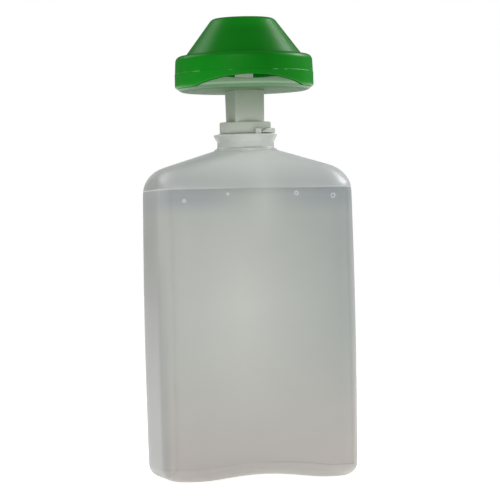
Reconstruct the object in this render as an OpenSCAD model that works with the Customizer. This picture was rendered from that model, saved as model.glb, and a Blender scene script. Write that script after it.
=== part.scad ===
// Personal eyewash bottle: a translucent squeeze bottle, its fill of saline,
// a nozzle with an eye cup, and a dust cap that pulls off.
// The origin is the middle of the base, on the surface that the bottle stands on.
// X runs across the wide faces, the front is -Y, and +Z is up.

/* [Bottle] */
// Width of the bottle
body_w = 107.4; // [89:0.1:129]
// Depth of the bottle, front to back
body_d = 65; // [54:1:80]
// Height of the neck's foot above the table
body_h = 176; // [140:1:215]
// Thickness of the blown wall
wall = 1.2; // [0.8:0.1:2]
// Radius of the upright corners
corner_r = 16; // [10:1:20]
// Radius of the bottom edge
heel_r = 7; // [5:0.5:12]
// Fall of the shoulder from the neck to each side
side_fall = 11.9; // [8:0.1:15]
// Fall of the shoulder from the neck to the front and to the back
front_fall = 21; // [14:0.5:25]
// Rounding between a side and the shoulder
side_turn_r = 12.7; // [8:0.1:16]
// Rounding between the front and the shoulder
front_turn_r = 12; // [8:0.5:16]
// Width of the arch under the base
arch_w = 68; // [50:1:72]
// Height of the arch under the base
arch_h = 2.8; // [1:0.1:4]
// Air between the saline and the neck's foot
headspace = 21.3; // [16:0.1:30]

/* [Neck] */
// Outer radius of the neck
neck_r = 15.3; // [12.7:0.1:18.4]
// Straight height of the neck, under its bead
neck_h = 4.2; // [3:0.1:8]
// Radius of the flare at the neck's foot
neck_flare = 1.2; // [0.8:0.1:3]
// How far the bead stands out from the neck
bead_out = 1.8; // [1:0.1:3]
// Height of the bead's tapered underside
bead_taper = 3; // [2:0.1:4]
// Height of the bead's outer edge
bead_edge = 0.8; // [0.5:0.1:1.5]
// Height of the slope on top of the bead
bead_slope = 0.6; // [0.4:0.1:1.2]
// Outer radius of the mouth that the nozzle turns on
finish_r = 12; // [10:0.1:14.4]
// Height of the mouth above the bead
finish_h = 4; // [3.6:0.1:6]
// Wall of the mouth
mouth_wall = 1.5; // [1.2:0.1:2]
// How far the snap ring stands out from the mouth
snap_out = 0.5; // [0.3:0.1:0.8]

/* [Nozzle] */
// Wall of the collar that turns on the mouth
collar_wall = 1.5; // [1.1:0.05:2]
// Thickness of the collar's top
collar_top_t = 1.2; // [0.8:0.1:2]
// How far the collar's lug and its stop reach out past the collar
lug_out = 2.35; // [1.5:0.05:3.5]
// Height of the collar's lug
lug_h = 2.5; // [2:0.1:4]
// Width of the flat stem, which is the finger grip
stem_w = 16; // [12:0.5:18]
// Depth of the stem
stem_d = 23.5; // [18:0.5:27]
// Length of the stem between the collar and the eye cup
stem_h = 16.8; // [12:0.1:26]
// Wall of the stem
stem_wall = 1.5; // [1:0.1:2.2]
// Thickness of the gasket between the mouth and the collar
gasket_t = 0.8; // [0.5:0.1:1.2]
// How far the gasket reaches in past the mouth's bore
gasket_in = 1.5; // [0.8:0.1:2.5]
// Thickness of the web moulded across the mouth
web_t = 0.6; // [0.4:0.1:1]

/* [Eye cup] */
// Outer radius of the eye cup, where it stands inside the cap's skirt
cup_r = 35; // [29:0.1:43]
// Wall of the eye cup
cup_wall = 1.4; // [1:0.1:2]
// Radius of the cup's lower edge
cup_edge_r = 4.5; // [2:0.1:6]
// Rounding inside the cup, where its wall meets its floor
cup_fillet_r = 2.1; // [1:0.1:3]
// Angle that the low points of the rim are turned by from the front and the back
cup_turn = -8; // [-45:1:45]
// Height of the rim at its low points, front and back
rim_low = 5.1; // [4:0.1:8]
// Radius of the sweep that raises the rim at its two sides
rim_sweep_r = 75; // [60:1:100]
// Outer radius of the outlet post in the middle of the cup
post_r = 4.9; // [4.4:0.1:6]
// Height of the outlet post above the cup's underside
post_h = 12.6; // [9:0.1:16]
// Radius of the water's way up through the post
outlet_r = 3.5; // [2.8:0.1:3.6]

/* [Dust cap] */
// Wall of the cap
cap_wall = 1.8; // [1:0.1:2.2]
// How far the skirt's foot stands out below its parting step
step_out = 0.45; // [0.1:0.05:0.6]
// Rounding of the skirt's foot
foot_edge_r = 1.4; // [0.4:0.1:1.6]
// Height of the parting step above the skirt's foot
step_h = 7.75; // [5:0.05:12]
// Height of the skirt's foot above the cup's underside
skirt_lift = 1.85; // [1:0.05:4]
// Air between the cup's highest rim and the cap's roof
roof_air = 3.7; // [2:0.1:6]
// Width of the flat brim round the cone
brim_w = 5.4; // [4:0.1:8]
// Height of the cone above the brim
cone_h = 20; // [12:0.1:30]
// Radius of the cone's top, before its edge is rounded
crown_r = 16.7; // [12:0.1:20]
// Rounding of the crown's edge
crown_edge_r = 4.3; // [2:0.1:6]
// Rounding of the brim's edge
brim_edge_r = 3.6; // [2.8:0.1:5]
// Width of the arch cut in the skirt, front and back
notch_w = 57.8; // [30:0.1:60]
// Height of the arch cut in the skirt
notch_h = 5.25; // [2:0.05:7]

/* [Clearances] */
// Gap round parts that turn or pull off
free_gap = 0.3; // [0.2:0.05:0.5]
// Gap round parts that are pressed or welded together
press_gap = 0.1; // [0.05:0.05:0.2]

/* [Hidden] */
$fn = 128;
arc_steps = 8;      // straight stretches in each rounded corner
overlap = 0.5;      // how far two shapes of one solid run into each other

// Bottle
land_w = 0.4;            // flat left round the neck on top of the shoulder
neck_land = neck_r + land_w;
arch_r = (pow(arch_w / 2, 2) + pow(arch_h, 2)) / (2 * arch_h);
fill_top = body_h - headspace;

// Neck, from its foot up
bead_z = body_h + neck_h;
bead_r = neck_r + bead_out;
bead_top = bead_z + bead_taper + bead_edge + bead_slope;
neck_bore_r = neck_r - wall;
neck_sink = 2 * wall;    // the neck's foot runs this far down into the shoulder
mouth_r = finish_r - mouth_wall;
mouth_top = bead_top + finish_h;
snap_h = 1;
snap_z = bead_top + finish_h / 2;
web_seat = 0.7;          // width of the ledge that the web lies on
web_r = mouth_r + web_seat;
tooth_h = 2.4;           // height of the stop above the bead
tooth_start = -83;       // angles about +Z, from +X
tooth_sweep = 12;

// Nozzle
collar_bore_r = finish_r + free_gap;
collar_r = collar_bore_r + collar_wall;
collar_z = bead_top + free_gap;
collar_under = mouth_top + gasket_t + free_gap / 2;
collar_top = collar_under + collar_top_t;
collar_hole_r = mouth_r - gasket_in;
lug_r = collar_r + lug_out;
lug_start = -68;
lug_sweep = 54;
stem_corner_r = 1.5;
stem_bore_corner_r = 0.9;
stem_bore_w = stem_w - 2 * stem_wall;
stem_bore_d = stem_d - 2 * stem_wall;
stem_way_r = min(collar_hole_r, stem_bore_w / 2);   // round way from the collar into the stem

// Eye cup
cup_z = collar_top + stem_h;
rim_top = cup_z + rim_low + rim_sweep_r - sqrt(pow(rim_sweep_r, 2) - pow(cup_r, 2));
spigot_h = 4;
post_top = cup_z + post_h;

// Diffuser in the post's mouth
diffuser_t = 1.2;
diffuser_spigot_h = 4;
diffuser_wall = 0.7;
jet_r = 0.45;
jet_ring_r = 1.8;
jet_count = 6;
diffuser_top = post_top + diffuser_t;

// Dust cap
cap_bore_r = cup_r + free_gap;
skirt_r = cap_bore_r + cap_wall;
foot_r = skirt_r + step_out;
foot_z = cup_z + skirt_lift;
step_z = foot_z + step_h;
brim_z = rim_top + roof_air + cap_wall;
cone_r = skirt_r - brim_w;
crown_z = brim_z + cone_h;
crown_dome = 0.5;
notch_r = (pow(notch_w / 2, 2) + pow(notch_h, 2)) / (2 * notch_h);
boss_out = 1.1;          // how far the boss stands out round the post
boss_wall = 1.6;
boss_r = post_r + boss_out;
boss_bore_r = boss_r - boss_wall;
cone_foot_r = 1.2;       // rounding where the cone meets the brim
seal_pad_in = 0.4;       // how far the seal's pad stays in from the boss's rim
seal_pad_r = boss_r - seal_pad_in;
seal_pad_t = 2;
seal_spigot_h = 4.5;
seal_z = diffuser_top + free_gap;
boss_z = seal_z + seal_pad_t;

function unit(v) = v / norm(v);

// Points of the corner at b, rounded with radius r between its neighbours a and c
function turned(a, b, c, r) =
    let (u = unit(a - b), v = unit(c - b))
    let (half = acos(u * v) / 2, sweep = 180 - 2 * half)
    let (middle = b + unit(u + v) * r / sin(half))
    let (start = b + u * r / tan(half) - middle, end = b + v * r / tan(half) - middle)
    [for (i = [0:arc_steps]) let (t = i / arc_steps)
        middle + (start * sin((1 - t) * sweep) + end * sin(t * sweep)) / sin(sweep)];

// An outline with each corner rounded by its own radius, where 0 leaves it sharp
function rounded(points, radii) =
    let (n = len(points))
    [for (i = [0:n - 1])
        each (radii[i] > 0
            ? turned(points[(i + n - 1) % n], points[i], points[(i + 1) % n], radii[i])
            : [points[i]])];

function rounded_box(x, y, r) =
    rounded([[-x, -y], [x, -y], [x, y], [-x, y]], [r, r, r, r]);

module along_x(length) {
    rotate([90, 0, 90]) linear_extrude(height = length, center = true) children();
}

module along_y(length) {
    rotate([90, 0, 0]) linear_extrude(height = length, center = true) children();
}

// A cylinder that lies along Y, or turned from it, wider than anything it cuts
module cross_cylinder(r, z, turn = 0) {
    rotate([0, 0, turn])
        translate([0, 0, z]) rotate([90, 0, 0]) cylinder(r = r, h = 2 * body_w, center = true);
}

// The space below the arches that are cut in the skirt, front and back, all round by gap smaller
module under_notch(gap) {
    cross_cylinder(notch_r - gap, foot_z + notch_h - notch_r, cup_turn);
}

// Outline of the body seen along one axis, all round by inset smaller
module elevation(half_w, fall, turn_r, inset) {
    slope = atan(fall / (half_w - neck_land));
    drop = inset / cos(slope);
    x = half_w - inset;
    side_z = body_h - fall - drop + inset * tan(slope);
    top_z = body_h - drop;
    heel = heel_r - inset;
    turn = turn_r - inset;
    polygon(rounded(
        [[-x, inset], [x, inset], [x, side_z], [neck_land, top_z], [-neck_land, top_z], [-x, side_z]],
        [heel, heel, turn, 0, 0, turn]));
}

// The whole body, or its hollow when inset is the wall
module body_form(inset) {
    difference() {
        intersection() {
            linear_extrude(height = body_h)
                polygon(rounded_box(body_w / 2 - inset, body_d / 2 - inset, corner_r - inset));
            along_y(2 * body_d) elevation(body_w / 2, side_fall, side_turn_r, inset);
            along_x(2 * body_w) elevation(body_d / 2, front_fall, front_turn_r, inset);
        }
        cross_cylinder(arch_r + inset, arch_h - arch_r);
    }
}

module neck_outside() {
    flare = [for (i = [0:arc_steps]) let (a = 90 * i / arc_steps)
        [neck_r + neck_flare * (1 - sin(a)), body_h + neck_flare * (1 - cos(a))]];
    rotate_extrude()
        polygon(concat(
            [[0, body_h - neck_sink], [neck_r + neck_flare, body_h - neck_sink]],
            flare,
            [[neck_r, bead_z], [bead_r, bead_z + bead_taper], [bead_r, bead_top - bead_slope],
             [collar_r, bead_top], [finish_r, bead_top], [finish_r, snap_z - snap_h],
             [finish_r + snap_out, snap_z - snap_h / 2], [finish_r + snap_out, snap_z + snap_h / 2],
             [finish_r, snap_z + snap_h], [finish_r, mouth_top], [0, mouth_top]]));
}

module neck_bore() {
    rotate_extrude()
        polygon([[0, body_h - 2 * neck_sink], [neck_bore_r, body_h - 2 * neck_sink],
                 [neck_bore_r, bead_z + bead_taper / 2], [mouth_r, bead_top - wall],
                 [mouth_r, mouth_top - web_t], [web_r, mouth_top - web_t],
                 [web_r, mouth_top + overlap], [0, mouth_top + overlap]]);
}

// Stop for the collar's lug, standing on the bead
module stop_tooth() {
    rotate([0, 0, tooth_start])
        rotate_extrude(angle = tooth_sweep)
            translate([collar_r + free_gap, bead_top - bead_slope - overlap])
                square([lug_r - collar_r - free_gap, tooth_h + bead_slope + overlap]);
}

module bottle_shell() {
    color([0.84, 0.87, 0.84])
        union() {
            difference() {
                union() {
                    body_form(0);
                    neck_outside();
                }
                body_form(wall);
                neck_bore();
            }
            stop_tooth();
        }
}

module saline_fill() {
    color([0.70, 0.80, 0.82])
        intersection() {
            body_form(wall + press_gap);
            linear_extrude(height = fill_top) square([2 * body_w, 2 * body_d], center = true);
        }
}

// Thin web across the mouth, which keeps the saline sterile until the nozzle is turned
module seal_web() {
    color([0.90, 0.92, 0.90])
        translate([0, 0, mouth_top - web_t])
            cylinder(r = web_r - press_gap, h = web_t);
}

module neck_gasket() {
    color([0.55, 0.56, 0.55])
        translate([0, 0, mouth_top])
            difference() {
                cylinder(r = finish_r, h = gasket_t);
                translate([0, 0, -overlap]) cylinder(r = collar_hole_r, h = gasket_t + 2 * overlap);
            }
}

// Collar, as it is turned round the mouth: its bore has a groove for the snap ring
module collar() {
    groove_r = collar_bore_r + snap_out;
    rotate_extrude()
        polygon([[collar_bore_r, collar_z], [collar_r, collar_z], [collar_r, collar_top],
                 [collar_hole_r, collar_top], [collar_hole_r, collar_under], [collar_bore_r, collar_under],
                 [collar_bore_r, snap_z + snap_h + free_gap], [groove_r, snap_z + snap_h / 2 + free_gap],
                 [groove_r, snap_z - snap_h / 2 - free_gap], [collar_bore_r, snap_z - snap_h - free_gap]]);
    rotate([0, 0, lug_start])
        rotate_extrude(angle = lug_sweep)
            translate([collar_r - overlap, collar_z])
                square([lug_r - collar_r + overlap, lug_h]);
}

module nozzle_stem() {
    color([0.66, 0.71, 0.65])
        union() {
            collar();
            translate([0, 0, collar_top - overlap])
                difference() {
                    linear_extrude(height = stem_h + overlap)
                        polygon(rounded_box(stem_w / 2, stem_d / 2, stem_corner_r));
                    translate([0, 0, overlap])
                        linear_extrude(height = stem_h + overlap)
                            polygon(rounded_box(stem_bore_w / 2, stem_bore_d / 2, stem_bore_corner_r));
                    translate([0, 0, -overlap]) cylinder(r = stem_way_r, h = 3 * overlap);
                }
        }
}

// Room that the cap's skirt takes round the cup: all but what fills the arches from below
module skirt_room() {
    difference() {
        translate([0, 0, foot_z - free_gap]) cylinder(r = 2 * cup_r, h = 2 * rim_top - foot_z);
        translate([0, 0, foot_z - 2 * free_gap]) cylinder(r = cup_r, h = 2 * rim_top);
        under_notch(free_gap);
    }
}

// The cup's wall is flush with the skirt below the skirt's foot and its arches, and thin inside it
module eye_cup() {
    wall_top = rim_top + overlap;
    inner_r = cup_r - cup_wall;
    floor_top = cup_z + cup_wall;
    color([0.62, 0.70, 0.62])
        difference() {
            union() {
                difference() {
                    rotate_extrude()
                        polygon(rounded(
                            [[0, cup_z], [skirt_r, cup_z], [skirt_r, wall_top], [inner_r, wall_top],
                             [inner_r, floor_top], [0, floor_top]],
                            [0, cup_edge_r, 0, 0, cup_fillet_r, 0]));
                    skirt_room();
                    cross_cylinder(rim_sweep_r, cup_z + rim_low + rim_sweep_r, cup_turn);
                }
                translate([0, 0, floor_top - overlap])
                    cylinder(r = post_r, h = post_top - floor_top + overlap);
                translate([0, 0, cup_z - spigot_h])
                    linear_extrude(height = spigot_h + overlap)
                        polygon(rounded_box(stem_bore_w / 2 - press_gap, stem_bore_d / 2 - press_gap,
                                            stem_bore_corner_r));
            }
            translate([0, 0, cup_z - spigot_h - overlap])
                cylinder(r = outlet_r, h = spigot_h + post_h + 2 * overlap);
        }
}

module flow_diffuser() {
    spigot_r = outlet_r - press_gap;
    color([0.88, 0.90, 0.88])
        difference() {
            union() {
                translate([0, 0, post_top]) cylinder(r = post_r, h = diffuser_t);
                translate([0, 0, post_top - diffuser_spigot_h])
                    cylinder(r = spigot_r, h = diffuser_spigot_h + overlap);
            }
            translate([0, 0, post_top - diffuser_spigot_h - overlap])
                cylinder(r = spigot_r - diffuser_wall, h = diffuser_spigot_h + overlap);
            translate([0, 0, post_top - overlap]) cylinder(r = jet_r, h = diffuser_t + 2 * overlap);
            for (i = [0:jet_count - 1])
                rotate([0, 0, 360 * i / jet_count])
                    translate([jet_ring_r, 0, post_top - overlap])
                        cylinder(r = jet_r, h = diffuser_t + 2 * overlap);
        }
}

module dust_cap() {
    roof_z = brim_z - cap_wall;
    crown_under = crown_z - cap_wall;
    cone_out = [cone_r - crown_r, cone_h];
    side_t = cap_wall * norm(cone_out) / cone_out[1];
    color([0.10, 0.47, 0.14])
        difference() {
            union() {
                rotate_extrude()
                    polygon(rounded(
                        [[cap_bore_r, foot_z], [foot_r, foot_z], [foot_r, step_z],
                         [skirt_r, step_z + step_out], [skirt_r, brim_z], [cone_r, brim_z],
                         [crown_r, crown_z], [0, crown_z + crown_dome], [0, crown_under],
                         [crown_r - side_t, crown_under], [cone_r - side_t, roof_z], [cap_bore_r, roof_z]],
                        [0, foot_edge_r, 0, 0, brim_edge_r, cone_foot_r, crown_edge_r, 0, 0,
                         crown_edge_r - cap_wall, cone_foot_r, brim_edge_r - cap_wall]));
                translate([0, 0, boss_z])
                    difference() {
                        cylinder(r = boss_r, h = crown_under - boss_z + overlap);
                        translate([0, 0, -overlap])
                            cylinder(r = boss_bore_r, h = crown_under - boss_z + overlap);
                    }
            }
            under_notch(0);
        }
}

// Soft plug in the cap's boss, which closes the outlet while the cap is on
module cap_seal() {
    color([0.80, 0.82, 0.80])
        union() {
            translate([0, 0, seal_z]) cylinder(r = seal_pad_r, h = seal_pad_t);
            translate([0, 0, seal_z + overlap])
                cylinder(r = boss_bore_r - press_gap, h = seal_pad_t + seal_spigot_h - overlap);
        }
}

bottle_shell();
saline_fill();
seal_web();
neck_gasket();
nozzle_stem();
eye_cup();
flow_diffuser();
dust_cap();
cap_seal();
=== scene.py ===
import math
import random

import bmesh
import bpy
from mathutils import Matrix, Vector


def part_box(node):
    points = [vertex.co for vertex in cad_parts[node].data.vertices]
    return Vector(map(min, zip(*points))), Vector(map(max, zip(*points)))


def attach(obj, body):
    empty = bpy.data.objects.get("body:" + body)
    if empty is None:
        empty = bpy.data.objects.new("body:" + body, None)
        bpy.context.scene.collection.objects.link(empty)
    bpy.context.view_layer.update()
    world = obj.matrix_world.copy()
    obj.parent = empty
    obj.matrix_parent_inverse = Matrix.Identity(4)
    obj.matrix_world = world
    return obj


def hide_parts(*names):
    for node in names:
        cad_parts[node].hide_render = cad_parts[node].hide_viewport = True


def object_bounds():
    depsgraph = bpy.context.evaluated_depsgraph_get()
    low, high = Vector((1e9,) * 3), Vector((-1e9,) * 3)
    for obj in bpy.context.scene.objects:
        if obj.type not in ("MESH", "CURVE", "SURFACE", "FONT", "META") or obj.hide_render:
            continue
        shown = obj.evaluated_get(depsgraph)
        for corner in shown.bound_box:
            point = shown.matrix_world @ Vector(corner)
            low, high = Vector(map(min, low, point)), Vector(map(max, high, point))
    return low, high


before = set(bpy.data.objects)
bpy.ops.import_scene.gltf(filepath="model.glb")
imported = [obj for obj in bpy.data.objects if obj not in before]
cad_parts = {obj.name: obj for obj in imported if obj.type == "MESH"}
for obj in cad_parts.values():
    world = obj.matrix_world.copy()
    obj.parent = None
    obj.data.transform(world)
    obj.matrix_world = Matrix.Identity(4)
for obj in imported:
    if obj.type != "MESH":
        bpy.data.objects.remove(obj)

mm = 0.001
cadLow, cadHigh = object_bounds()
scene = bpy.context.scene


# camera: level, turned a little to the bottle's left, and rolled as the bottle leans
view = {
    "distance": 1.45,
    "height": 0.1218,       # above the table
    "azimuth": -14.0,       # degrees
    "roll": -1.3,           # degrees
    "aside": 0.0011,        # to the right of the bottle's axis
    "lens": 193.3,
    "clip": (0.01, 50),
}


def makeCamera():
    turn = math.radians(view["azimuth"])
    right = Vector((math.cos(turn), math.sin(turn), 0))
    back = Vector((math.sin(turn), -math.cos(turn), 0))
    camera = bpy.data.objects.new("mainCamera", bpy.data.cameras.new("mainCamera"))
    scene.collection.objects.link(camera)
    camera.data.lens = view["lens"]
    camera.data.clip_start, camera.data.clip_end = view["clip"]
    camera.location = back * view["distance"] + right * view["aside"] + Vector((0, 0, view["height"]))
    level = back.to_track_quat("Z", "Y").to_matrix()
    camera.rotation_euler = (level @ Matrix.Rotation(math.radians(view["roll"]), 3, "Z")).to_euler()
    scene.camera = camera


makeCamera()
print("camera ready")


# shader sums: a wrapped socket adds its own Math nodes
class Wire:
    def __init__(self, tree, socket=None):
        self.tree, self.socket = tree, socket

    def node(self, kind, settings, sockets, out=0):
        made = self.tree.nodes.new("ShaderNode" + kind)
        for name, value in settings.items():
            setattr(made, name, value)
        for name, value in sockets.items():
            plug(self.tree, value, made.inputs[name])
        return Wire(self.tree, made.outputs[out])

    def sum(self, operation, *values):
        return self.node("Math", {"operation": operation}, dict(enumerate(values)))

    def __add__(self, other):
        return self.sum("ADD", self, other)

    def __sub__(self, other):
        return self.sum("SUBTRACT", self, other)

    def __rsub__(self, other):
        return self.sum("SUBTRACT", other, self)

    def __mul__(self, other):
        return self.sum("MULTIPLY", self, other)

    def __truediv__(self, other):
        return self.sum("DIVIDE", self, other)

    __radd__, __rmul__ = __add__, __mul__

    def clamped(self):
        return self.sum("MINIMUM", self.sum("MAXIMUM", self, 0.0), 1.0)

    def size(self):
        return self.sum("ABSOLUTE", self)


def plug(tree, value, socket):
    if isinstance(value, Wire):
        tree.links.new(value.socket, socket)
    elif isinstance(value, tuple) and len(value) == 3 and socket.type == "RGBA":
        socket.default_value = (*value, 1.0)
    else:
        socket.default_value = value


def newMaterial(name, build, **fixed):
    material = bpy.data.materials.new(name)
    material.use_nodes = True
    tree = material.node_tree
    shader = tree.nodes["Principled BSDF"]
    for socket, value in fixed.items():
        plug(tree, value, shader.inputs[socket.replace("_", " ")])
    for socket, value in build(Wire(tree)).items():
        plug(tree, value, shader.inputs[socket])
    return material


def place(g):
    return g.node("TexCoord", {}, {}, out="Object")


def parts(g, spot):
    # across, deep and up
    split = g.node("SeparateXYZ", {}, {0: spot}).socket.node
    return [Wire(g.tree, output) for output in split.outputs]


def grain(g, spot, scale, detail=2.0, roughness=0.5):
    return g.node("TexNoise", {}, {"Vector": spot, "Scale": scale, "Detail": detail, "Roughness": roughness})


def blend(g, factor, first, second):
    return g.node("Mix", {"data_type": "RGBA"}, {0: factor, 6: first, 7: second}, out=2)


def bump(g, height, strength, distance):
    return g.node("Bump", {}, {"Height": height, "Strength": strength, "Distance": distance})


def rise(value, low, high):
    # 0 below low, 1 above high, and even in between
    return ((value - low) / (high - low)).clamped()


def hump(value, middle, width):
    # 1 at the middle, 0 past the width on either side
    return (1 - (value - middle).size() / width).clamped()


# mesh helpers

def finish(bm, name, body, material, replaces=()):
    # makes a piece of a mesh and tells the frame which body it rides on
    mesh = bpy.data.meshes.new(name)
    bm.to_mesh(mesh)
    bm.free()
    piece = bpy.data.objects.new(name, mesh)
    scene.collection.objects.link(piece)
    mesh.materials.append(material)
    mesh.shade_smooth()
    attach(piece, body)
    if replaces:
        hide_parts(*replaces)
    return piece


def cleaned(bm, gap=2e-6):
    # merges what meets, and turns the faces outwards
    bmesh.ops.remove_doubles(bm, verts=bm.verts, dist=gap)
    bmesh.ops.recalc_face_normals(bm, faces=bm.faces)
    return bm


def softLine(corners, steps=4):
    # rounds each corner (radius, height, rounding) of an outline; a rounding of 0 leaves it sharp
    line = []
    for i, (x, z, soft) in enumerate(corners):
        here = Vector((x, z))
        if soft <= 0:
            line.append(here)
            continue
        before = (Vector(corners[i - 1][:2]) - here).normalized()
        after = (Vector(corners[(i + 1) % len(corners)][:2]) - here).normalized()
        half = before.angle(after) / 2
        middle = here + (before + after).normalized() * soft / math.sin(half)
        start = here + before * soft / math.tan(half) - middle
        end = here + after * soft / math.tan(half) - middle
        for k in range(steps + 1):
            line.append(middle + start.slerp(end, k / steps) * soft)
    return line


def spun(line, steps, turn=2 * math.pi, start=0.0):
    # an outline turned about the upright axis; a part turn is closed at both ends
    bm = bmesh.new()
    verts = [bm.verts.new((p.x * math.cos(start), p.x * math.sin(start), p.y)) for p in line]
    edges = [bm.edges.new((verts[i - 1], verts[i])) for i in range(len(verts))]
    full = turn >= 2 * math.pi
    if not full:
        bm.faces.new(verts)
    geom = verts + edges + list(bm.faces)
    bmesh.ops.spin(bm, geom=geom, cent=(0, 0, 0), axis=(0, 0, 1), angle=turn, steps=steps, use_merge=full)
    return cleaned(bm)


def modifier(piece, kind, **settings):
    made = piece.modifiers.new(kind.title(), kind)
    for name, value in settings.items():
        setattr(made, name, value)
    return made


def settled(piece):
    # bakes a piece's modifiers into its mesh
    graph = bpy.context.evaluated_depsgraph_get()
    mesh = bpy.data.meshes.new_from_object(piece.evaluated_get(graph))
    piece.modifiers.clear()
    piece.data = mesh
    return piece


def addTo(piece, bm):
    # joins another closed shape to a piece
    mesh = bpy.data.meshes.new("extra")
    bm.to_mesh(mesh)
    bm.free()
    extra = bpy.data.objects.new("extra", mesh)
    scene.collection.objects.link(extra)
    modifier(piece, "BOOLEAN", operation="UNION", object=extra, solver="EXACT")
    bpy.context.view_layer.update()
    settled(piece)
    bpy.data.objects.remove(extra)


def turned(x, y, degrees):
    # a point's place across and along, seen from a direction turned about the axis
    a = math.radians(degrees)
    return x * math.cos(a) + y * math.sin(a), y * math.cos(a) - x * math.sin(a)


# bottle: rings lofted from the base up to the mouth
bottle = {
    "wall": 1.2 * mm,
    "shoulderTop": 176 * mm,
    "neckLand": 15.7 * mm,      # where the shoulder would meet its top
    "cornerRadius": 16 * mm,
    "heelRadius": 7 * mm,
    "sideFall": 11.9 * mm,      # of the shoulder, out to the sides
    "frontFall": 21 * mm,       # of the shoulder, out to the front
    "sideTurn": 12.7 * mm,
    "frontTurn": 12 * mm,
    "archWidth": 68 * mm,
    "archHeight": 2.8 * mm,
    "archFade": 18 * mm,        # height at which the heel's wave has died out
    "pushUp": 1.4 * mm,         # of the base panel
    "sideTuck": 0.25 * mm,      # sides: narrower than the box at the base and the shoulder
    "sideBow": 0.75 * mm,       # and bowed out between them
    "frontBow": 0.5 * mm,
    "fillTop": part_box("saline_fill")[1].z,
    "bellyIn": 10 * mm,         # the faces are flat again this far in from the sides
    "faceFrom": 24 * mm,        # and they lie further from the axis than this
    "quarter": 28,              # ring points in a quarter turn
    "cornerShare": 1.6,         # how much closer the points lie round a corner
    # share of the base's width, and of the push-up there
    "panel": ((0.08, 1.0), (0.45, 0.95), (0.72, 0.55), (0.86, 0.12), (0.95, 0.0)),
    "heelRings": 9,
    "wallRings": (13, 15, 9),   # first height and distance in mm, and number
    "shoulderRings": (145, 24, 1.3),    # first height in mm, number, and how they crowd to the top
    # most of these tones paint light and shade on the plastic: a warmer foot, a shade band under the
    # surface, a lit middle, a lighter shoulder, shade down the right, the sides and the heel, a shade line
    # over the heel, a highlight column and a highlight along the surface
    "tones": {
        # painted warm light near the foot
        "foot": (0.60, 0.555, 0.525),
        "wall": (0.54, 0.565, 0.525),
        "shadeBand": (0.34, 0.39, 0.44),         # painted shade under the liquid's surface
        # painted light in the middle of the body
        "middle": (0.86, 0.86, 0.81),
        # painted shade down the right side
        "right": (0.40, 0.445, 0.46),
        # painted light over the shoulder, lighter up from the surface, and painted shade on its right
        "overSurface": (0.58, 0.61, 0.60),
        "shoulder": (0.85, 0.885, 0.86),
        "shoulderRightShade": (0.56, 0.60, 0.61),
        "neck": (0.66, 0.70, 0.65),
        # painted shade at the sides, the heel and a line over the heel, and painted highlights down the
        # middle and along the surface
        "side": (0.285, 0.285, 0.27),
        "heel": (0.30, 0.285, 0.255),
        "creaseShade": (0.22, 0.22, 0.21),
        "paintedGleam": (0.84, 0.87, 0.82),
        "surface": (0.92, 0.94, 0.94),
        "cloud": (0.60, 0.61, 0.59),
    },
}
neck = {
    "radius": 15.3,             # mm, and heights above the shoulder's top
    "flare": 1.4,
    "straight": 4.2,
    "bead": 17.1,
    "beadTaper": 3.0,
    "beadEdge": 0.8,
    "beadSlope": 0.6,
    "collarFoot": 13.8,
    "mouth": 12.0,
    "mouthHeight": 4.0,
    "snap": 12.5,
}
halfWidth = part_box("bottle_shell")[1].x
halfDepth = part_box("bottle_shell")[1].y


def elevation(half, fall, turn, z):
    # half width of an outline with a rounded shoulder, at height z
    top, foot = bottle["shoulderTop"], bottle["neckLand"]
    slope = math.atan2(fall, half - foot)
    reach = turn * math.tan((math.pi / 2 - slope) / 2)
    corner = top - fall
    if z <= corner - reach:
        return half
    if z >= corner + reach * math.sin(slope):
        return foot + max(top - z, 0) / math.tan(slope)
    return half - turn + math.sqrt(max(turn ** 2 - (z - corner + reach) ** 2, 0))


def ringPoint(k, x, y, r):
    # point k of a rounded rectangle: spaced along its length, closer round the corners
    quarter, step = divmod(k, bottle["quarter"])
    if quarter in (1, 3):
        step = bottle["quarter"] - step
    arc = bottle["cornerShare"] * math.pi / 2 * r
    along = (y - r + arc + x - r) * step / bottle["quarter"]
    if along <= y - r:
        px, py = x, along
    elif along <= y - r + arc:
        a = (along - y + r) / arc * math.pi / 2
        px, py = x - r + r * math.cos(a), y - r + r * math.sin(a)
    else:
        px, py = x - r - (along - y + r - arc), y
    return (-px if quarter in (1, 2) else px), (-py if quarter in (2, 3) else py)


def bodyRing(z, inset=0.0):
    # half width, half depth and corner radius of the body at height z
    x = elevation(halfWidth, bottle["sideFall"], bottle["sideTurn"], z)
    y = elevation(halfDepth, bottle["frontFall"], bottle["frontTurn"], z)
    up = min(z / bottle["fillTop"], 1)
    x += bottle["sideBow"] * math.sin(math.pi * up) - bottle["sideTuck"]
    r = bottle["cornerRadius"]
    heel = bottle["heelRadius"]
    if z < heel:
        lost = heel - math.sqrt(max(heel ** 2 - (heel - z) ** 2, 0))
        x, y, r = x - lost, y - lost, r - lost
    r = min(r, x, y)
    return x - inset, y - inset, max(r - inset, 1 * mm)


def loft(rings):
    # rings of (height, half width, half depth, corner radius), lowest first
    bm = bmesh.new()
    loop = bmesh.ops.create_circle(bm, segments=4 * bottle["quarter"], radius=1)["verts"]
    edges = list({e for v in loop for e in v.link_edges})
    first = loop
    for i, (z, x, y, r) in enumerate(rings):
        if i:
            grown = bmesh.ops.extrude_edge_only(bm, edges=edges)["geom"]
            fresh = {g for g in grown if isinstance(g, bmesh.types.BMVert)}
            loop = [next(v for e in old.link_edges for v in e.verts if v in fresh) for old in loop]
            edges = [g for g in grown if isinstance(g, bmesh.types.BMEdge) and set(g.verts) <= fresh]
        for k, vert in enumerate(loop):
            vert.co = (*ringPoint(k, x, y, r), z)
    closeRing(bm, first)
    return bm, loop


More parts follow.
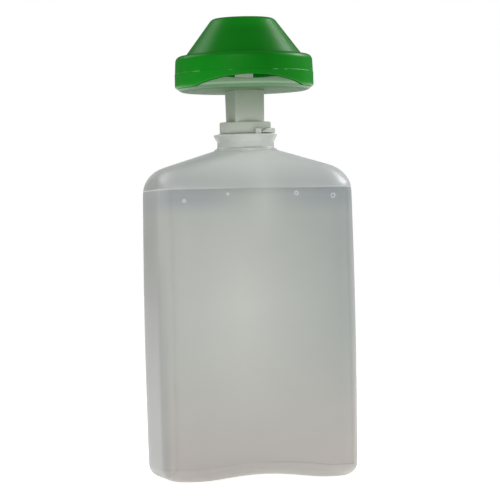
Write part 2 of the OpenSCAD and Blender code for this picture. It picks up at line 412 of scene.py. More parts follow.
def closeRing(bm, loop):
    # a fan of faces across a ring
    bmesh.ops.poke(bm, faces=[bm.faces.new(loop)])


def belly(x, z):
    # how far the wide faces bow out here
    across = max(0.0, 1 - (x / (halfWidth - bottle["bellyIn"])) ** 2)
    up = math.sin(math.pi * min(max(z / bottle["fillTop"], 0), 1))
    return bottle["frontBow"] * across * up


def bowed(bm):
    # the base is arched from side to side, and the wide faces belly out over the liquid
    half = bottle["archWidth"] / 2
    for v in bm.verts:
        if abs(v.co.y) > bottle["faceFrom"]:
            v.co.y += math.copysign(belly(v.co.x, v.co.z), v.co.y)
        if abs(v.co.x) < half:
            fade = max(0.0, 1 - v.co.z / bottle["archFade"]) ** 2
            v.co.z += bottle["archHeight"] * math.cos(math.pi / 2 * v.co.x / half) ** 1.5 * fade


def baseRings(inset):
    # the base panel, from its raised middle out to the heel
    x, y, r = bodyRing(0.0, inset)
    return [(inset + bottle["pushUp"] * lift, x * share, y * share, r * share)
            for share, lift in bottle["panel"]]


def bodyRings(inset=0.0, top=1.0):
    # heel, wall and shoulder, as far up as top
    heel, last = bottle["heelRadius"], bottle["heelRings"] - 1
    heights = [heel * (1 - math.cos(math.pi / 2 * k / last)) for k in range(last + 1)]
    first, apart, count = bottle["wallRings"]
    heights += [(first + apart * k) * mm for k in range(count)]
    first, count, crowd = bottle["shoulderRings"]
    low, high = first * mm, bottle["shoulderTop"] - 0.3 * mm
    heights += [low + (high - low) * (1 - (1 - k / (count - 1)) ** crowd) for k in range(count)]
    return [(max(z, inset), *bodyRing(z, inset)) for z in heights if z < top]


def neckRings():
    # foot, bead and mouth with its snap ring
    n = neck
    beadZ = n["straight"] + n["beadTaper"]
    slopeZ = beadZ + n["beadEdge"]
    beadTop = slopeZ + n["beadSlope"]
    snapZ = beadTop + n["mouthHeight"] / 2
    top = beadTop + n["mouthHeight"]
    corners = [
        (n["radius"] + 2.0, 0.1, 0), (n["radius"], 0.3, n["flare"]), (n["radius"], n["straight"], 1.5),
        (n["bead"], beadZ, 0.6), (n["bead"], slopeZ, 0.35), (n["collarFoot"], beadTop, 0.1),
        (n["mouth"], beadTop, 0.15), (n["mouth"], snapZ - 1, 0.1), (n["snap"], snapZ - 0.5, 0.15),
        (n["snap"], snapZ + 0.5, 0.15), (n["mouth"], snapZ + 1, 0.1), (n["mouth"], top, 0.25),
        (n["mouth"] - 0.4, top, 0),
    ]
    foot = bottle["shoulderTop"]
    return [(foot + p.y * mm, p.x * mm, p.x * mm, p.x * mm) for p in softLine(corners, 3)]


def shellLook(g):
    spot = place(g)
    x, y, z = parts(g, spot)
    tones, level = bottle["tones"], bottle["fillTop"]
    cloud = grain(g, spot, 22.0)
    fine = grain(g, spot, 900.0)
    off = rise(x.size(), 0.004, 0.030)
    right = rise(x, 0.0, 0.045)
    above = rise(z, level - 0.0004, level + 0.0004)
    # height above the arched base
    heel = z - hump(x * x, 0.0, (bottle["archWidth"] / 2) ** 2) * bottle["archHeight"]

    # wall, from the foot up to the liquid's surface, with painted light and shade: warmer towards the foot,
    # a shade band under the surface, a lit middle and shade down the right side
    tint = blend(g, rise(z, 0.0, 0.08), tones["foot"], tones["wall"])
    tint = blend(g, hump(z, level - 0.006, 0.0085) * (off * 0.5 + 0.1), tint, tones["shadeBand"])
    tint = blend(g, hump(z, 0.092, 0.085) * hump(x, -0.012, 0.058) * 0.38, tint, tones["middle"])
    tint = blend(g, right * rise(z, 0.03, 0.13) * 0.5, tint, tones["right"])

    # shoulder and neck: painted light brightens the shoulder above the surface and painted shade darkens its
    # right side
    head = blend(g, rise(z, level, level + 0.014), tones["overSurface"], tones["shoulder"])
    head = blend(g, right * 0.5, head, tones["shoulderRightShade"])
    head = blend(g, rise(z, 0.173, 0.179), head, tones["neck"])
    tint = blend(g, above, tint, head)

    # painted shade on the sides, at the heel and along a broken line where the heel's rounding starts, a
    # painted highlight down the middle, and a painted highlight along the line of the surface
    tint = blend(g, rise(x.size(), 0.0500, 0.0537) * (0.98 - z * 3.2), tint, tones["side"])
    tint = blend(g, (1 - rise(heel, 0.0002, 0.0055)) * 0.75, tint, tones["heel"])
    creaseShade = hump(heel, 0.0068, 0.0005) * rise(grain(g, spot, 35.0, 1.0), 0.40, 0.60)
    tint = blend(g, creaseShade * 0.35, tint, tones["creaseShade"])
    paintedGleam = hump(x, 0.002, 0.012) * rise(z, level - 0.030, level + 0.004)
    tint = blend(g, paintedGleam * 0.4, tint, tones["paintedGleam"])
    tint = blend(g, hump(z, level, 0.0005) * (off * 0.6 + 0.2), tint, tones["surface"])
    tint = blend(g, cloud * 0.3, tint, tones["cloud"])

    seam = (1 - rise(y.size(), 0.0001, 0.0006)) * rise(x.size(), 0.017, 0.021)
    waves = grain(g, spot, 50.0) * 0.5 + fine * 0.12 + seam * 0.8
    solid = g.sum("MAXIMUM", rise(x.size(), 0.048, 0.0530), 1 - rise(heel, 0.001, 0.007))
    return {
        "Base Color": tint,
        "Roughness": cloud * 0.10 + 0.27,
        "Alpha": cloud * 0.06 + above * 0.24 + 0.44 + solid * (1 - above) * 0.42,
        "Normal": bump(g, waves, 0.2, 0.0006),
    }


def makeShell():
    bm, _ = loft(baseRings(0.0) + bodyRings() + neckRings())
    bowed(bm)
    cleaned(bm)
    look = newMaterial("milkyPolythene", shellLook, IOR=1.5, Specular_IOR_Level=0.4)
    piece = finish(bm, "bottleShell", "bottle", look, ["bottle_shell"])
    modifier(piece, "SUBSURF", levels=1, render_levels=1)
    modifier(piece, "SOLIDIFY", thickness=bottle["wall"], offset=-1, use_even_offset=True)


makeShell()
print("bottle shell ready")


# stop on the bead
stop = {
    "inner": 14.1 * mm,
    "outer": 16.1 * mm,
    "low": 183.6 * mm,
    "high": 186.9 * mm,
    "start": -83,           # degrees
    "sweep": 12,
    "softEdge": 0.25 * mm,
}


def makeStop():
    line = softLine([
        (stop["inner"], stop["low"], 0), (stop["outer"], stop["low"], 0),
        (stop["outer"], stop["high"], 0.5 * mm), (stop["inner"], stop["high"], 0.3 * mm),
    ])
    bm = spun(line, steps=12, turn=math.radians(stop["sweep"]), start=math.radians(stop["start"]))
    piece = finish(bm, "stopTooth", "bottle", bpy.data.materials["milkyPolythene"])
    modifier(piece, "BEVEL", width=stop["softEdge"], segments=2, limit_method="ANGLE",
             angle_limit=math.radians(50))


makeStop()
print("stop ready")


# saline, with a meniscus that climbs the wall
saline = {
    "gap": 0.15 * mm,
    "climb": 0.9 * mm,
    # how far in from the wall, and the share of the climb there
    "meniscus": ((0.0, 0.3), (0.15, 1.0), (0.7, 0.55), (1.6, 0.2), (3.2, 0.04), (6.0, 0.0), (14.0, 0.0)),
    "sunk": 0.7,                # share of the climb that the middle lies under the surface's height
    # these tones paint the light and shade seen in the liquid: a warmer foot, darker towards the top, a lit
    # middle, shade at the sides, the heel and the right, and a shade band under the surface
    "tones": {
        "foot": (0.74, 0.68, 0.64),
        "low": (0.66, 0.70, 0.64),
        "high": (0.56, 0.62, 0.56),
        "middle": (1.0, 1.0, 0.95),
        "side": (0.40, 0.42, 0.40),
        "heel": (0.40, 0.37, 0.33),
        "right": (0.36, 0.41, 0.43),
        "shadeBand": (0.22, 0.28, 0.36),     # painted shade under the surface
    },
}


def salineLook(g):
    spot = place(g)
    x, _, z = parts(g, spot)
    tones, level = saline["tones"], bottle["fillTop"]
    cloud = grain(g, spot, 11.0)
    off = rise(x.size(), 0.002, 0.030)
    shadeBand = rise(z, level - 0.012, level - 0.003)
    # painted light and shade: warmer at the foot, darker upward, lit in the middle, shaded at the sides,
    # heel and right, and a shade band under the surface
    tint = blend(g, rise(z, 0.0, 0.08), tones["foot"], tones["low"])
    tint = blend(g, rise(z, 0.085, level), tint, tones["high"])
    tint = blend(g, hump(z, 0.092, 0.075) * hump(x, -0.012, 0.055) * 0.8, tint, tones["middle"])
    tint = blend(g, rise(x.size(), 0.0495, 0.052) * 0.40, tint, tones["side"])
    tint = blend(g, (1 - rise(z, 0.001, 0.008)) * 0.7, tint, tones["heel"])
    tint = blend(g, rise(x, 0.030, 0.052) * rise(z, 0.035, 0.12) * 0.7, tint, tones["right"])
    tint = blend(g, shadeBand * (off * 0.65 + 0.15), tint, tones["shadeBand"])
    return {
        "Base Color": tint,
        "Roughness": cloud * 0.1 + 0.25,
    }


def makeSaline():
    inset = bottle["wall"] + saline["gap"]
    level = bottle["fillTop"]
    rings = baseRings(inset) + bodyRings(inset, level - 1 * mm)
    x, y, r = bodyRing(level, inset)
    for back, climb in saline["meniscus"]:
        b = back * mm
        lift = saline["climb"] * (climb - saline["sunk"])
        rings.append((level + lift, x - b, y - b, max(r - b, 1 * mm)))
    bm, last = loft(rings)
    closeRing(bm, last)
    bowed(bm)
    cleaned(bm)
    look = newMaterial("saline", salineLook, Alpha=0.93, IOR=1.34, Specular_IOR_Level=0.3)
    piece = finish(bm, "salineFill", "bottle", look, ["saline_fill"])
    modifier(piece, "SUBSURF", levels=1, render_levels=1)


makeSaline()
print("saline ready")


# air bubbles on the inside of the wall, just under the surface
bubbles = {
    "seed": 7,
    # x, z and radius of each big one
    "big": ((39.5, 150.0, 1.1), (19.3, 151.6, 0.95), (-41.5, 148.5, 0.7), (-18.0, 151.6, 0.45)),
    "rim": 0.26,            # radius of its bright rim, a ring that paints the bubble's highlight, and how far that stands out from the saline
    "proud": 0.3,
    "specks": 16,
    "flat": 0.5,            # depth of a speck over its width
    # painted glow of the bubbles, which are no lamps
    "paintedGlow": 0.28,
    "tones": {
        "dark": (0.70, 0.74, 0.75),
        "light": (0.82, 0.85, 0.85),
    },
}


def bubbleLook(g):
    fleck = grain(g, place(g), 400.0)
    return {
        "Base Color": blend(g, fleck, bubbles["tones"]["dark"], bubbles["tones"]["light"]),
        "Roughness": fleck * 0.1 + 0.05,
    }


def frontAt(x, z):
    # how far out the saline's surface is here
    wide, deep, r = bodyRing(z, bottle["wall"] + saline["gap"])
    past = max(abs(x) - wide + r, 0)
    return deep - r + math.sqrt(max(r * r - past * past, 0)) + belly(x, z)


def onWall(x, z):
    # a place on the saline's front, turned to lie flat on it
    slope = (frontAt(x + 1 * mm, z) - frontAt(x - 1 * mm, z)) / (2 * mm)
    return Matrix.Translation((x, -frontAt(x, z), z)) @ Matrix.Rotation(math.atan(-slope), 4, "Z")


def makeBubbles():
    bm = bmesh.new()
    chance = random.Random(bubbles["seed"])
    for _ in range(bubbles["specks"]):
        x, z, r = chance.uniform(-44, 40), chance.uniform(70, 146), chance.uniform(0.14, 0.30)
        squash = onWall(x * mm, z * mm) @ Matrix.Scale(bubbles["flat"], 4, (0, 1, 0))
        bmesh.ops.create_icosphere(bm, subdivisions=2, radius=r * mm, matrix=squash)
    # each big bubble is a bright ring, a painted highlight round its edge
    for x, z, r in bubbles["big"]:
        spot = onWall(x * mm, z * mm) @ Matrix.Translation((0, -bubbles["proud"] * mm, 0))
        section = bmesh.ops.create_circle(bm, segments=8, radius=bubbles["rim"] * mm,
                                          matrix=spot @ Matrix.Translation((r * mm, 0, 0)))["verts"]
        edges = list({e for v in section for e in v.link_edges})
        bmesh.ops.spin(bm, geom=section + edges, cent=spot.translation, axis=spot.col[1].xyz,
                       angle=2 * math.pi, steps=20, use_merge=True)
    cleaned(bm)
    # the bubbles glow with painted light
    look = newMaterial("airBubble", bubbleLook, Alpha=0.9, IOR=1.33, Emission_Color=(1, 1, 1),
                       Emission_Strength=bubbles["paintedGlow"])
    finish(bm, "airBubbles", "bottle", look)


makeBubbles()
print("bubbles ready")


# nozzle: collar, lug and flat stem
nozzle = {
    "outer": 13.8 * mm,
    "bore": 12.3 * mm,
    "groove": 12.8 * mm,
    "way": 6.5 * mm,
    "topThick": 1.2 * mm,
    "lugOuter": 16.1 * mm,
    "lugHeight": 2.5 * mm,
    "lugStart": -68,            # degrees
    "lugSweep": 54,
    "lugRamp": 14,
    "stemWidth": 16 * mm,
    "stemDepth": 23.5 * mm,
    "stemLength": 16.8 * mm,
    "stemCorner": 1.5 * mm,
    "stemWall": 1.5 * mm,
    "stemDraft": 1.025,         # how much wider the stem is at its top
    "closer": 0.2 * mm,         # of the collar to the bead
    "rampLow": 0.3,             # height of the ramp's foot, as a share of the lug's
    "lugRoot": 0.5 * mm,        # how far the lug and the stem run into the collar
    "softEdge": 0.3 * mm,
    # the stem is painted greener and darker towards its top, for the green light and shade from the cap
    # above
    "tones": {
        "low": (0.60, 0.64, 0.56),
        "high": (0.225, 0.305, 0.20),
        "cloud": (0.46, 0.50, 0.43),
    },
}


def nozzleLook(g):
    spot = place(g)
    tones = nozzle["tones"]
    cloud = grain(g, spot, 120.0, 3.0)
    fine = grain(g, spot, 1400.0)
    low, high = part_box("nozzle_stem")
    # painted green light and shade from the cap, darker towards the top
    up = rise(parts(g, spot)[2], low.z, high.z)
    tint = blend(g, up, tones["low"], tones["high"])
    tint = blend(g, cloud * 0.3, tint, tones["cloud"])
    return {
        "Base Color": tint,
        "Roughness": cloud * 0.15 + 0.28,
        "Alpha": cloud * 0.06 + 0.86,
        "Normal": bump(g, cloud * 0.4 + fine * 0.1, 0.2, 0.0004),
    }


def makeCollar(foot, top):
    # ring with a groove in its bore for the snap ring
    outer, bore, groove, way = nozzle["outer"], nozzle["bore"], nozzle["groove"], nozzle["way"]
    under = top - nozzle["topThick"]
    return spun(softLine([
        (bore, foot, 0.15 * mm), (outer, foot, 0.2 * mm), (outer, top, 0.6 * mm),
        (way, top, 0.2 * mm), (way, under, 0.2 * mm), (bore, under, 0.2 * mm),
        (bore, foot + 3.0 * mm, 0), (groove, foot + 2.4 * mm, 0),
        (groove, foot + 0.9 * mm, 0), (bore, foot + 0.4 * mm, 0),
    ]), steps=96)


def makeLug(foot):
    root, outer = nozzle["outer"] - nozzle["lugRoot"], nozzle["lugOuter"]
    top = foot + nozzle["lugHeight"]
    lug = spun(softLine([
        (root, foot, 0), (outer, foot, 0.3 * mm), (outer, top, 0.5 * mm), (root, top, 0),
    ]), steps=28, turn=math.radians(nozzle["lugSweep"]), start=math.radians(nozzle["lugStart"]))
    low = nozzle["rampLow"]
    for v in lug.verts:     # its leading end is a ramp
        angle = math.degrees(math.atan2(v.co.y, v.co.x)) - nozzle["lugStart"]
        share = min(max(angle / nozzle["lugRamp"], 0), 1)
        v.co.z = foot + (v.co.z - foot) * (low + (1 - low) * share)
    return lug


def makeStem(top):
    stem = bmesh.new()
    bmesh.ops.create_cube(stem, size=1)
    length = nozzle["stemLength"] + nozzle["lugRoot"]
    bmesh.ops.scale(stem, verts=stem.verts, vec=(nozzle["stemWidth"], nozzle["stemDepth"], length))
    bmesh.ops.translate(stem, verts=stem.verts, vec=(0, 0, top - length / 2))
    upright = [e for e in stem.edges if abs(e.verts[0].co.z - e.verts[1].co.z) > length / 2]
    bmesh.ops.bevel(stem, geom=upright, offset=nozzle["stemCorner"], segments=5, affect="EDGES", profile=0.5,
                    material=-1)
    roof = [f for f in stem.faces if f.normal.z > 0.9]
    rim = list({v for f in roof for v in f.verts})
    bmesh.ops.scale(stem, verts=rim, vec=(nozzle["stemDraft"], nozzle["stemDraft"], 1))
    bmesh.ops.inset_region(stem, faces=roof, thickness=nozzle["stemWall"], depth=0)
    floor = list({v for f in roof for v in f.verts})        # the inset face sinks and leaves the bore
    bmesh.ops.translate(stem, verts=floor, vec=(0, 0, -nozzle["stemLength"]))
    bmesh.ops.recalc_face_normals(stem, faces=stem.faces)
    return stem


def makeNozzle():
    foot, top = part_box("nozzle_stem")[0].z - nozzle["closer"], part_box("nozzle_stem")[1].z
    look = newMaterial("nozzlePlastic", nozzleLook, IOR=1.5)
    collar = makeCollar(foot, top - nozzle["stemLength"])
    piece = finish(collar, "nozzleStem", "nozzle", look, ["nozzle_stem"])
    addTo(piece, makeLug(foot))
    addTo(piece, makeStem(top))
    modifier(piece, "BEVEL", width=nozzle["softEdge"], segments=2, limit_method="ANGLE",
             angle_limit=math.radians(50))


makeNozzle()
print("nozzle ready")


# cup and cap share the turned arch of the skirt
arch = {
    "turn": -8,                 # degrees, from the front
    "halfWidth": 28.9 * mm,
    "height": 5.25 * mm,
    "gap": 0.07 * mm,           # between the skirt and the flush band of the cup
    "foot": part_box("dust_cap")[0].z,
}


def archEdge(x, y):
    # height of the skirt's lower edge at this place
    across, _ = turned(x, y, arch["turn"])
    half, high = arch["halfWidth"], arch["height"]
    radius = (half ** 2 + high ** 2) / (2 * high)
    across = min(abs(across), half)
    return arch["foot"] + high - radius + math.sqrt(radius ** 2 - across ** 2)


# eye cup
cup = {
    "radius": 35 * mm,
    "flush": 37.1 * mm,
    "wall": 1.4 * mm,
    "edge": 4.5 * mm,
    "fillet": 2.1 * mm,
    "low": 5.1 * mm,            # rim above the cup's underside, at its lowest
    "sweep": 75 * mm,
    "post": 4.9 * mm,
    "outlet": 3.5 * mm,
    "spigot": 4.0 * mm,
    "spigotRadius": 5.6 * mm,
    "diffuser": 1.2 * mm,
    "rings": (12 * mm, 24 * mm),    # extra rings in the flat plate
    "steps": 192,
    "tones": {
        # the cup is painted green for the light and shade from the green cap over it
        "dark": (0.135, 0.250, 0.135),
        "light": (0.175, 0.285, 0.165),
        "shadeLine": (0.05, 0.19, 0.06),
        "highlightLine": (0.32, 0.46, 0.32),
        # painted shade on the underside
        "under": (0.075, 0.145, 0.068),
        "bowl": (0.50, 0.56, 0.49),
        "post": (0.60, 0.64, 0.58),
        # painted glow of the post, which is no lamp
        "postPaintedGlow": (0.22, 0.24, 0.20),
    },
}
black = (0.0, 0.0, 0.0)


def cupBase():
    # underside of the cup, over its spigot
    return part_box("eye_cup")[0].z + cup["spigot"]


def cupLook(g):
    spot = place(g)
    x, y, z = parts(g, spot)
    tones, base, wall = cup["tones"], cupBase(), cup["radius"]
    cloud = grain(g, spot, 70.0, 3.0)
    fine = grain(g, spot, 1200.0)
    wide = g.sum("SQRT", x * x + y * y)
    post = 1 - rise(wide, 0.006, 0.008)
    under = 1 - rise(z, base + 0.0002, base + 0.0010)
    bowl = (1 - rise(wide, wall + 0.0002, wall + 0.0005)) * rise(z, base + 0.0010, base + 0.0013)
    # painted green light and shade from the cap
    tint = blend(g, cloud, tones["dark"], tones["light"])
    # a painted shade line and a painted highlight line round the lower wall
    tint = blend(g, hump(z, base + 0.0016, 0.0009) * 0.6, tint, tones["shadeLine"])
    tint = blend(g, hump(z, base + 0.0028, 0.0007) * 0.6, tint, tones["highlightLine"])
    # painted shade under the cup
    tint = blend(g, under, tint, tones["under"])
    tint = blend(g, bowl, tint, tones["bowl"])
    tint = blend(g, post, tint, tones["post"])
    return {
        "Base Color": tint,
        "Roughness": cloud * 0.14 + under * 0.25 + 0.28,
        "Alpha": cloud * 0.06 + 0.88,
        # the post glows with painted light
        "Emission Color": blend(g, post * (1 - under), black, tones["postPaintedGlow"]),
        "Normal": bump(g, cloud * 0.4 + fine * 0.1, 0.2, 0.0004),
    }


def cupProfile(base, postTop, across, edge):
    # one upright section: flush band, ledge under the skirt, thin wall, bowl and post
    post, outlet = cup["post"], cup["outlet"]
    r, t, f = cup["radius"], cup["wall"], cup["fillet"]
    rim = base + cup["low"] + cup["sweep"] - math.sqrt(cup["sweep"] ** 2 - min(across, r) ** 2)
    ledge = min(edge - arch["gap"], rim - 0.3 * mm)
    ledge = max(ledge, base + 1.2 * mm)
    flush, soft = cup["flush"], cup["edge"]
    near, far = cup["rings"]
    points = [(outlet, base - cup["spigot"]), (cup["spigotRadius"], base - cup["spigot"]),
              (cup["spigotRadius"], base), (near, base), (far, base)]
    top = min(ledge - base - 0.2 * mm, soft)
    for k in range(9):      # lower edge, as far up as the ledge
        drop = soft - top * (k / 8) ** 1.6
        points.append((flush - soft + math.sqrt(soft ** 2 - drop ** 2), base + soft - drop))
    outer = points[-1][0]
    points += [(outer, ledge - 0.12 * mm), (outer - 0.12 * mm, ledge), (r + 0.05 * mm, ledge)]
    points += [(r, ledge + 0.05 * mm), (r, rim - 0.15 * mm), (r - 0.25 * mm, rim)]
    points += [(r - t + 0.25 * mm, rim), (r - t, rim - 0.15 * mm)]
    floor = base + t
    for k in range(6):      # rounding inside the bowl
        a = math.pi / 2 * k / 5
        points.append((r - t - f + f * math.cos(a), floor + f - f * math.sin(a)))
    points += [(near, floor), (post + 0.8 * mm, floor), (post + 0.2 * mm, floor + 0.2 * mm),
               (post, floor + 0.8 * mm), (post, postTop), (outlet, postTop)]
    return points


def makeCup():
    base, postTop = cupBase(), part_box("flow_diffuser")[1].z - cup["diffuser"]
    steps, first = cup["steps"], 20 * mm
    count = len(cupProfile(base, postTop, 0, arch["foot"]))
    sections = {}
    bm = bmesh.new()
    verts = [bm.verts.new((first + k * mm, 0, 0)) for k in range(count)]
    edges = [bm.edges.new((verts[i - 1], verts[i])) for i in range(count)]
    bmesh.ops.spin(bm, geom=verts + edges, cent=(0, 0, 0), axis=(0, 0, 1), angle=2 * math.pi, steps=steps,
                   use_merge=True)
    for v in bm.verts:      # each section takes the height that the arch and the rim's sweep give it
        around = math.atan2(v.co.y, v.co.x)
        step = round(around / (2 * math.pi) * steps) % steps
        if step not in sections:
            x, y = math.cos(around), math.sin(around)
            across, _ = turned(cup["radius"] * x, cup["radius"] * y, arch["turn"])
            edge = archEdge(cup["flush"] * x, cup["flush"] * y)
            sections[step] = cupProfile(base, postTop, abs(across), edge)
        r, z = sections[step][round((v.co.xy.length - first) / mm)]
        v.co = (r * math.cos(around), r * math.sin(around), z)
    cleaned(bm, 1e-6)
    # emission lets the post glow with painted light
    look = newMaterial("cupPlastic", cupLook, IOR=1.5, Specular_IOR_Level=0.25, Emission_Strength=1.0)
    finish(bm, "eyeCup", "nozzle", look, ["eye_cup"])


makeCup()
print("eye cup ready")


# dust cap
cap = {
    "foot": 37.45 * mm,
    "skirtFoot": 37.28 * mm,
    "skirtTop": 36.9 * mm,
    "bore": 35.3 * mm,
    "stepHeight": 7.75 * mm,
    "step": 0.35 * mm,
    "footEdge": 1.4 * mm,
    "archSoft": 0.35 * mm,      # rounding of the skirt's edge over an arch
    "cone": 31.6 * mm,
    "coneFoot": 1.4 * mm,
    "crown": 16.7 * mm,
    "coneHeight": 20 * mm,
    "dome": 0.5 * mm,
    "brimEdge": 3.1 * mm,
    "crownEdge": 4.3 * mm,
    "wall": 1.8 * mm,
    "bossBore": 4.4 * mm,
    "boss": 6.0 * mm,
    "sealPad": 2.0 * mm,
    "rings": (3 * mm, 5.5 * mm),    # extra rings in the skirt, above its foot
    "domeStart": 9 * mm,
    "gate": 1.3 * mm,               # mark where the mould was filled, on top of the dome
    "gateDepth": 0.3 * mm,
    "steps": 192,
    "tones": {
        "dark": (0.0008, 0.185, 0.0030),
        "light": (0.002, 0.240, 0.007),
        # painted shade down the front of the cap
        "front": (0.0004, 0.085, 0.0016),
        # painted glints along the parting step
        "parting": (0.25, 0.60, 0.25),
        "paintedGlow": (0.0, 0.075, 0.004),    # painted glow inside
    },
}


def capCrown():
    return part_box("dust_cap")[1].z - cap["dome"]


def capLook(g):
    spot = place(g)
    x, y, z = parts(g, spot)
    tones, crown, bore = cap["tones"], capCrown(), cap["bore"]
    roof = crown - cap["coneHeight"] - cap["wall"]
    cloud = grain(g, spot, 45.0, 3.0)
    fine = grain(g, spot, 1700.0)
    wide = g.sum("SQRT", x * x + y * y)
    # the inside of the cap glows with painted light
    within = (1 - rise(wide, bore + 0.0003, bore + 0.0008)) * (1 - rise(z, roof - 0.0001, roof + 0.0006))
    # pale broken dashes along the parting step: painted glints on its edge
    broken = rise(grain(g, spot, 260.0, 3.0), 0.54, 0.64)
    parting = hump(z, arch["foot"] + cap["stepHeight"], 0.00035) * broken
    # painted shade down the front, below the crown
    front = hump(x, 0.003, 0.033) * (1 - rise(z, crown - 0.007, crown - 0.003))
    tint = blend(g, cloud, tones["dark"], tones["light"])
    tint = blend(g, front * 0.42, tint, tones["front"])
    tint = blend(g, parting * 0.45, tint, tones["parting"])
    return {
        "Base Color": tint,
        "Roughness": cloud * 0.10 + 0.31,
        "Emission Color": blend(g, within, black, tones["paintedGlow"]),
        "Normal": bump(g, cloud * 0.25 + fine * 0.35, 0.35, 0.0004),
    }


def capOutline(foot, stepZ):
    # outside from the skirt's foot up to the dome, then the inside and its boss back down
    bore, skirt, cone, crown = cap["bore"], cap["foot"], cap["cone"], cap["crown"]
    apex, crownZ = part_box("dust_cap")[1].z, capCrown()
    brimZ = crownZ - cap["coneHeight"]
    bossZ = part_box("cap_seal")[0].z + cap["sealPad"]
    t, gate, sunk = cap["wall"], cap["gate"], apex - cap["gateDepth"]
    side = t * math.hypot(cone - crown, cap["coneHeight"]) / cap["coneHeight"]
    near, far = cap["rings"]
    return softLine([
        (bore, foot, 0), (skirt, foot, cap["footEdge"]), (skirt, foot + near, 0),
        (skirt, foot + far, 0), (skirt, stepZ, 0.08 * mm),
        (cap["skirtFoot"], stepZ + cap["step"], 0.1 * mm),
        (cap["skirtTop"], brimZ, cap["brimEdge"]), (cone, brimZ, cap["coneFoot"]),
        (crown, crownZ, cap["crownEdge"]), (cap["domeStart"], crownZ + 0.3 * mm, 2 * mm),
        (gate, apex - 0.02 * mm, 0.1 * mm), (gate - 0.2 * mm, sunk, 0.1 * mm), (0, sunk, 0),
        (0, crownZ - t, 0), (cap["bossBore"], crownZ - t, 0.2 * mm), (cap["bossBore"], bossZ, 0.2 * mm),
        (cap["boss"], bossZ, 0.2 * mm), (cap["boss"], crownZ - t, 0.6 * mm),
        (crown - side, crownZ - t, cap["crownEdge"] - t), (cone - side, brimZ - t, 1.2 * mm),
        (bore, brimZ - t, cap["brimEdge"] - t), (bore, stepZ, 0),
        (bore, foot + far, 0), (bore, foot + near, 0),
    ], 5)


def makeCap():
    foot, soft = arch["foot"], cap["footEdge"]
    stepZ = foot + cap["stepHeight"]
    edgeFrom = cap["foot"] - soft - 0.01 * mm       # the rounded edge of the skirt lies further out
    bm = spun(capOutline(foot, stepZ), steps=cap["steps"])
    for v in bm.verts:      # the skirt is arched at the front and the back
        wide = v.co.xy.length
        if v.co.z > stepZ - 0.02 * mm or wide < 30 * mm:
            continue
        edge = archEdge(v.co.x, v.co.y)
        share = (edge - foot) / arch["height"]
        small = soft + (cap["archSoft"] - soft) * max(share, 0)
        if v.co.z < foot + soft and wide > edgeFrom:
            wider = cap["foot"] - (cap["foot"] - wide) * small / soft
            v.co.xy *= wider / wide
            v.co.z = edge + (v.co.z - foot) * small / soft
        else:
            low = foot + soft if wide > edgeFrom else foot
            lifted = edge + small if low > foot else edge
            v.co.z = stepZ - (stepZ - v.co.z) * (stepZ - lifted) / (stepZ - low)
    # emission lets the inside glow with painted light
    look = newMaterial("greenCap", capLook, IOR=1.5, Specular_IOR_Level=0.15, Emission_Strength=1.0)
    finish(bm, "dustCap", "cap", look, ["dust_cap"])


makeCap()
print("dust cap ready")


# the small inner pieces keep their CAD shape
inner = {       # darker tone, lighter tone, roughness
    "seal_web": ((0.42, 0.45, 0.42), (0.50, 0.53, 0.50), 0.3),
    "neck_gasket": ((0.26, 0.27, 0.26), (0.32, 0.33, 0.31), 0.6),
    "flow_diffuser": ((0.46, 0.49, 0.46), (0.56, 0.58, 0.56), 0.3),
    "cap_seal": ((0.42, 0.45, 0.42), (0.50, 0.53, 0.50), 0.5),
}


def innerLook(first, second, rough):
    def build(g):
        cloud = grain(g, place(g), 300.0, 3.0)
        return {
            "Base Color": blend(g, cloud, first, second),
            "Roughness": cloud * 0.15 + rough,
            "Normal": bump(g, cloud, 0.15, 0.0003),
        }
    return build


for name, (first, second, rough) in inner.items():
    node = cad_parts[name]
    node.data.materials.clear()
    node.data.materials.append(newMaterial(name + "Look", innerLook(first, second, rough), IOR=1.5))
print("inner pieces ready")


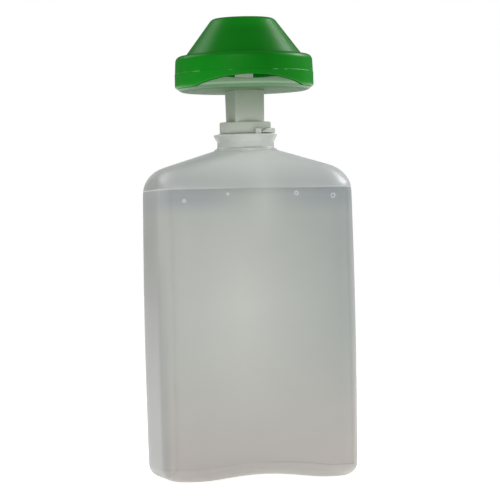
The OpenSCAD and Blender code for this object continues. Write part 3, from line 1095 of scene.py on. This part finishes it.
# floor and lights
studio = {
    "sky": 1.0,             # what the camera sees past the floor
    "fill": 0.42,           # what lights the bottle from all round
    "gloss": 0.13,          # what its surfaces mirror of that
    "floorGlow": 0.72,
    # name, way round from the camera, height (degrees), distance, side and power
    "boxes": (("leftBox", -126, 40, 1.2, 0.50, 2.2), ("rightBox", 121, 36, 1.2, 0.45, 8.0),
              ("frontBox", -20, 38, 1.6, 1.0, 5.5)),
    "aim": 0.15,            # height that the boxes point at
    "floorSize": 6,
    "floorDrop": 0.0002,    # under the bottle's feet
    "floorDark": (0.84, 0.84, 0.84),
    "floorLight": (0.86, 0.86, 0.86),
}
white = (1.0, 1.0, 1.0)


def floorLook(g):
    cloud = grain(g, place(g), 3.0)
    return {
        "Base Color": blend(g, cloud, studio["floorDark"], studio["floorLight"]),
        "Roughness": cloud * 0.1 + 0.7,
    }


def makeFloor():
    bm = bmesh.new()
    bmesh.ops.create_grid(bm, x_segments=1, y_segments=1, size=studio["floorSize"])
    mesh = bpy.data.meshes.new("floor")
    bm.to_mesh(mesh)
    bm.free()
    floor = bpy.data.objects.new("floor", mesh)
    scene.collection.objects.link(floor)
    look = newMaterial("paleFloor", floorLook, Emission_Color=white, Emission_Strength=studio["floorGlow"])
    mesh.materials.append(look)
    floor.location.z = min(0.0, cadLow.z) - studio["floorDrop"]


def addLight(name, around, height, distance, side, power):
    light = bpy.data.lights.new(name, "AREA")
    light.shape = "SQUARE"
    light.size = side
    light.energy = power
    lamp = bpy.data.objects.new(name, light)
    scene.collection.objects.link(lamp)
    a, e = math.radians(view["azimuth"] + around), math.radians(height)
    way = Vector((math.sin(a) * math.cos(e), -math.cos(a) * math.cos(e), math.sin(e)))
    lamp.location = Vector((0, 0, studio["aim"])) + way * distance
    lamp.rotation_euler = way.to_track_quat("Z", "Y").to_euler()


def makeLights():
    world = bpy.data.worlds.new("studio")
    scene.world = world
    world.use_nodes = True
    g = Wire(world.node_tree)
    seen = g.node("LightPath", {}, {}, out="Is Camera Ray") * (studio["sky"] - studio["fill"])
    mirrored = g.node("LightPath", {}, {}, out="Is Glossy Ray") * (studio["gloss"] - studio["fill"])
    back = world.node_tree.nodes["Background"]
    plug(world.node_tree, white, back.inputs["Color"])
    plug(world.node_tree, seen + mirrored + studio["fill"], back.inputs["Strength"])
    for box in studio["boxes"]:
        addLight(*box)


makeFloor()
makeLights()
scene.view_settings.view_transform = "Standard"
print("stage ready")
